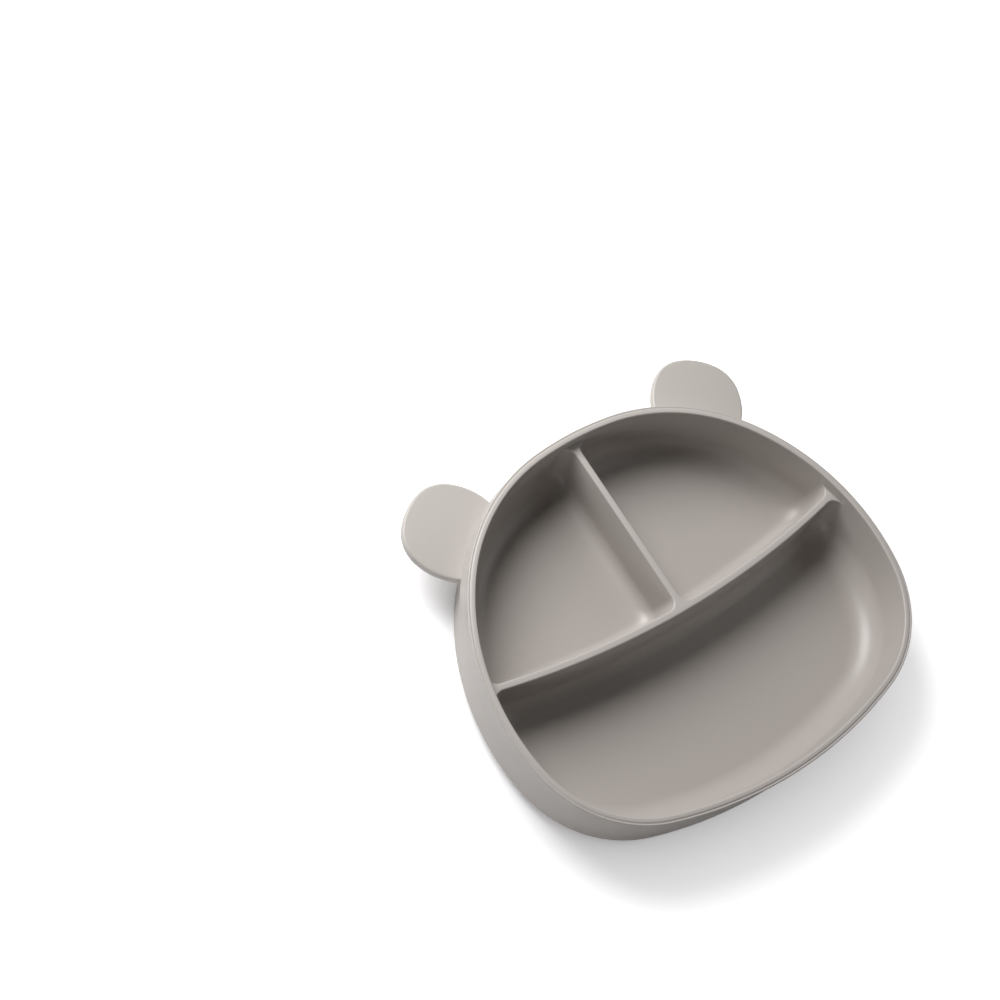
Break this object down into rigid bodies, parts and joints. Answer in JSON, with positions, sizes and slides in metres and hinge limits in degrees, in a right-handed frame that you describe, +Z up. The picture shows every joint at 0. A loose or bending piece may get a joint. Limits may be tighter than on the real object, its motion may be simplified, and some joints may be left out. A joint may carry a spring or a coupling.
{
  "type": "baby suction plate",
  "caption": "Deep moulded silicone plate in an animal-head outline with round ears, divided into upper compartments and a lower crescent, on a low suction ring.",
  "frame": {"origin": "on the table under the middle of the plan view, ears included", "axes": "+Z up, +Y toward the crown and the ears, -Y toward the chin, +X across the head"},
  "size_m": [0.1986, 0.1802, 0.035],
  "materials": {
    "silicone": "matte, soft to the touch"
  },
  "bodies": {
    "root": {"suction_plate": "silicone"}
  },
  "joints": []
}
